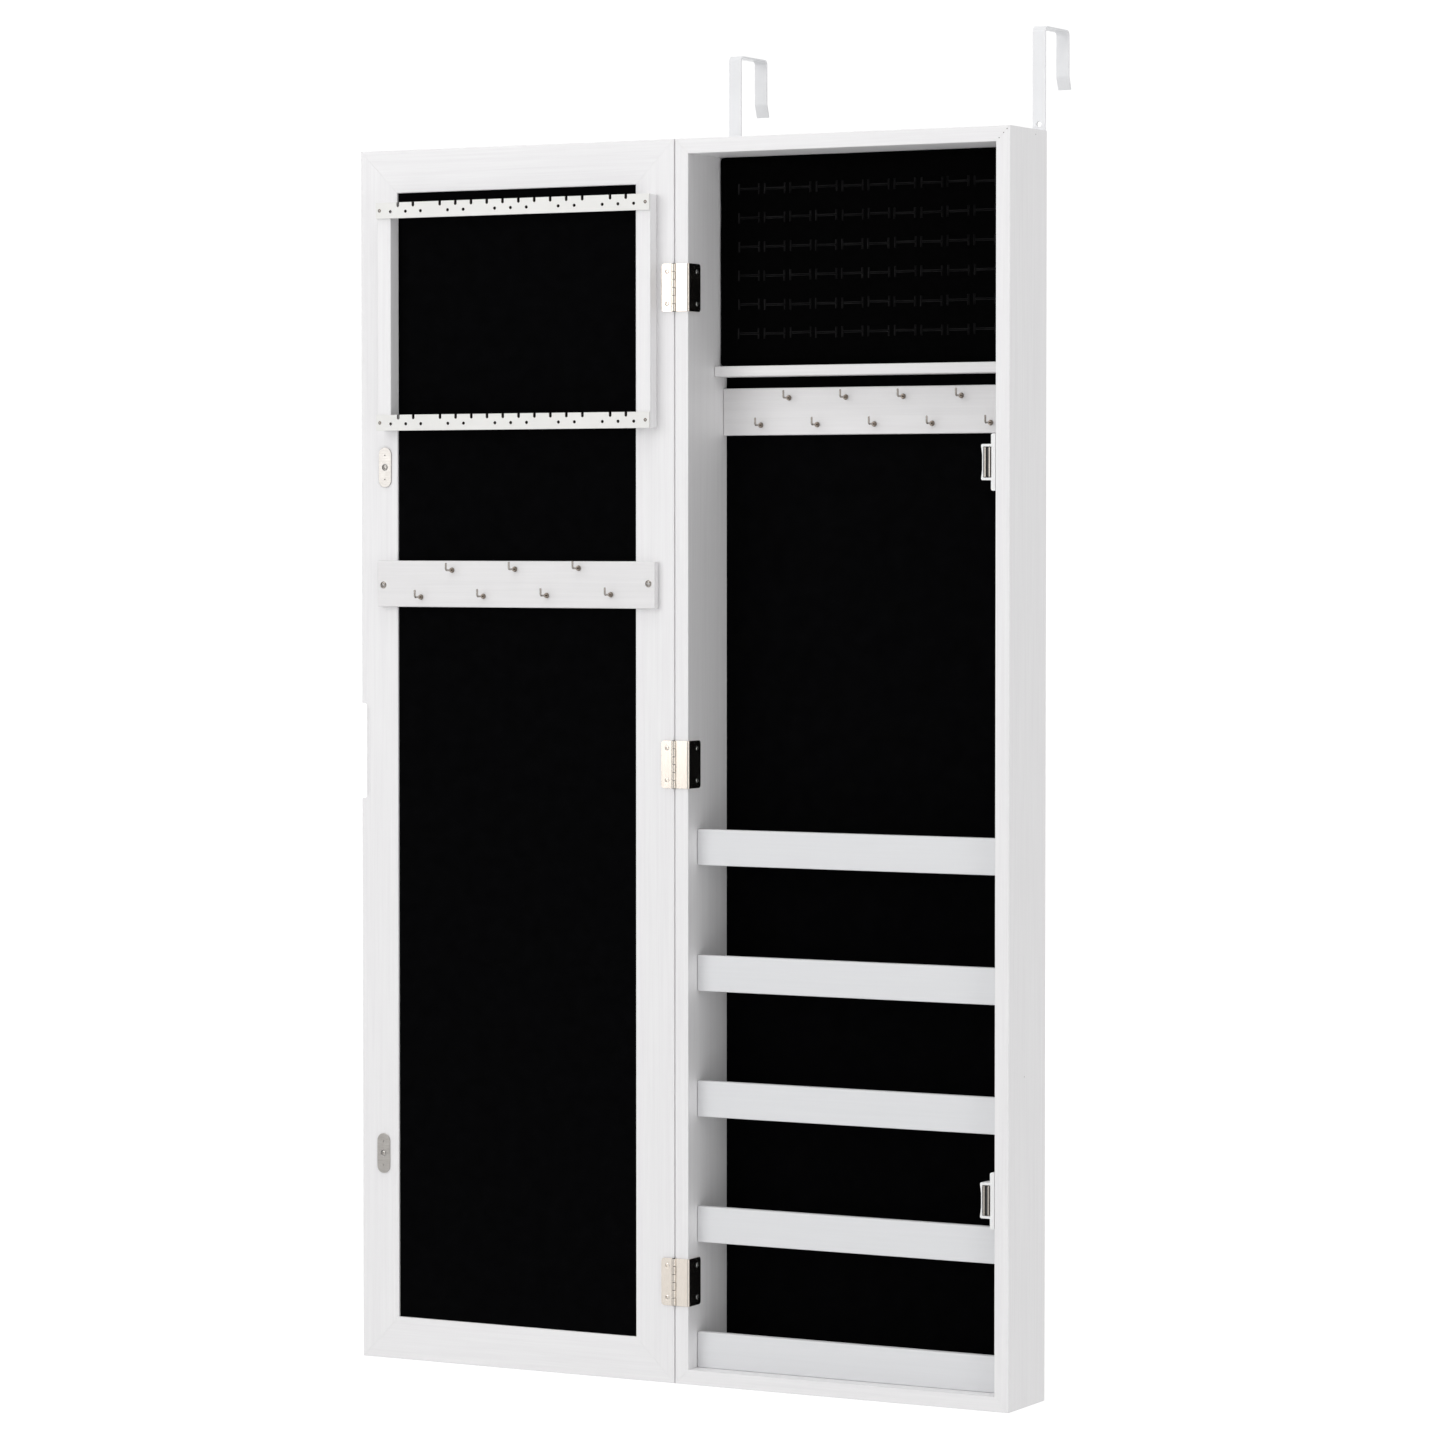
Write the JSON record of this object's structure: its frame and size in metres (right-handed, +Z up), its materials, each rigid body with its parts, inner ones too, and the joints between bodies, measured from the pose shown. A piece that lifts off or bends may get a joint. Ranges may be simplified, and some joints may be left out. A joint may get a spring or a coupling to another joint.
{
  "type": "jewelry armoire",
  "caption": "Slim white over-door jewelry armoire with a mirrored door, ring cushion, hook boards, earring bars, tray rails, magnetic catches and over-door straps.",
  "frame": {"origin": "centre of the casing's back face, which lies against the room door", "axes": "+X to the right as seen from the front, -Y towards the front, +Z up; the door is stored open flat to the left"},
  "size_m": [0.6548, 0.1489, 1.196],
  "materials": {
    "white_foil": "satin white foil with an embossed linear wood grain, on fibreboard",
    "felt_board": "fibreboard covered in matte black felt",
    "ring_foam": "matte black flocked foam with slits",
    "mirror_glass": "silvered float glass",
    "satin_nickel": "warm satin nickel plate",
    "hook_nickel": "bright nickel-plated wire",
    "white_plastic": "moulded white plastic",
    "magnet_steel": "dark magnet between zinc-plated steel pole plates",
    "white_enamel": "white powder-coated steel strap"
  },
  "bodies": {
    "casing": {"casing_left_side": "white_foil", "casing_right_side": "white_foil", "casing_top": "white_foil", "casing_bottom": "white_foil", "ring_shelf": "white_foil", "necklace_board": "white_foil", "tray_rail_1": "white_foil", "tray_rail_2": "white_foil", "tray_rail_3": "white_foil", "tray_rail_4": "white_foil", "tray_rail_5": "white_foil", "tray_floor_1": "white_foil", "tray_floor_2": "white_foil", "tray_floor_3": "white_foil", "tray_floor_4": "white_foil", "back_panel": "felt_board", "ring_cushion": "ring_foam", "necklace_hook_1": "hook_nickel", "necklace_hook_2": "hook_nickel", "necklace_hook_3": "hook_nickel", "necklace_hook_4": "hook_nickel", "necklace_hook_5": "hook_nickel", "necklace_hook_6": "hook_nickel", "necklace_hook_7": "hook_nickel", "necklace_hook_8": "hook_nickel", "necklace_hook_9": "hook_nickel", "hinge_casing_leaf_top": "satin_nickel", "hinge_casing_leaf_middle": "satin_nickel", "hinge_casing_leaf_bottom": "satin_nickel", "catch_housing_upper": "white_plastic", "catch_housing_lower": "white_plastic", "over_door_hook_left": "white_enamel", "over_door_hook_right": "white_enamel"},
    "door": {"door_left_stile": "white_foil", "door_right_stile": "white_foil", "door_top_rail": "white_foil", "door_bottom_rail": "white_foil", "earring_post_left": "white_foil", "earring_post_right": "white_foil", "earring_bar_upper": "white_foil", "earring_bar_lower": "white_foil", "door_hook_board": "white_foil", "door_mirror": "mirror_glass", "door_backing": "felt_board", "door_hook_1": "hook_nickel", "door_hook_2": "hook_nickel", "door_hook_3": "hook_nickel", "door_hook_4": "hook_nickel", "door_hook_5": "hook_nickel", "door_hook_6": "hook_nickel", "door_hook_7": "hook_nickel", "hinge_door_leaf_top": "satin_nickel", "hinge_door_leaf_middle": "satin_nickel", "hinge_door_leaf_bottom": "satin_nickel", "strike_plate_upper": "satin_nickel", "strike_plate_lower": "satin_nickel"},
    "upper_magnet": {"catch_magnet_upper": "magnet_steel"},
    "lower_magnet": {"catch_magnet_lower": "magnet_steel"}
  },
  "joints": [
    {"name": "door_hinge", "type": "hinge", "parent": "casing", "child": "door", "pos_m": [-0.1639, -0.0765, 0], "axis": [0, 0, 1], "range_deg": [0, 180]},
    {"name": "upper_magnet_float", "type": "slide", "parent": "casing", "child": "upper_magnet", "axis": [0, -1, 0], "range_m": [0, 0.001]},
    {"name": "lower_magnet_float", "type": "slide", "parent": "casing", "child": "lower_magnet", "axis": [0, -1, 0], "range_m": [0, 0.001]}
  ]
}
